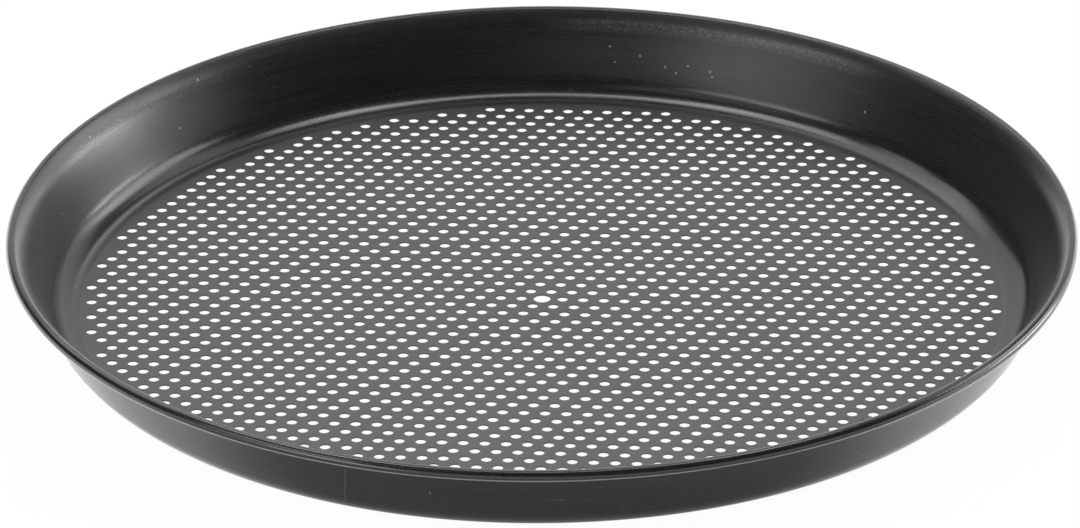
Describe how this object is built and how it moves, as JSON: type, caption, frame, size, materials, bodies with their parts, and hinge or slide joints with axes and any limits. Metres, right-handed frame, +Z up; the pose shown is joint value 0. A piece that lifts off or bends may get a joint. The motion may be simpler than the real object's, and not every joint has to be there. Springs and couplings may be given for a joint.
{
  "type": "perforated pizza pan",
  "caption": "Round shallow baking pan of thin dark coated steel with a finely perforated floor, a flared wall and a rolled rim, for baking pizza crisp on its underside",
  "frame": {"origin": "on the pan's axis, level with the ring of the underside that the pan stands on", "axes": "+Z up out of the open side; X and Y level, with the rows of holes 59.2 degrees from +X"},
  "size_m": [0.32, 0.32, 0.0257],
  "materials": {
    "dark_coated_steel": "dark grey satin non-stick coat on thin carbon steel"
  },
  "bodies": {
    "root": {"pan": "dark_coated_steel"}
  },
  "joints": []
}
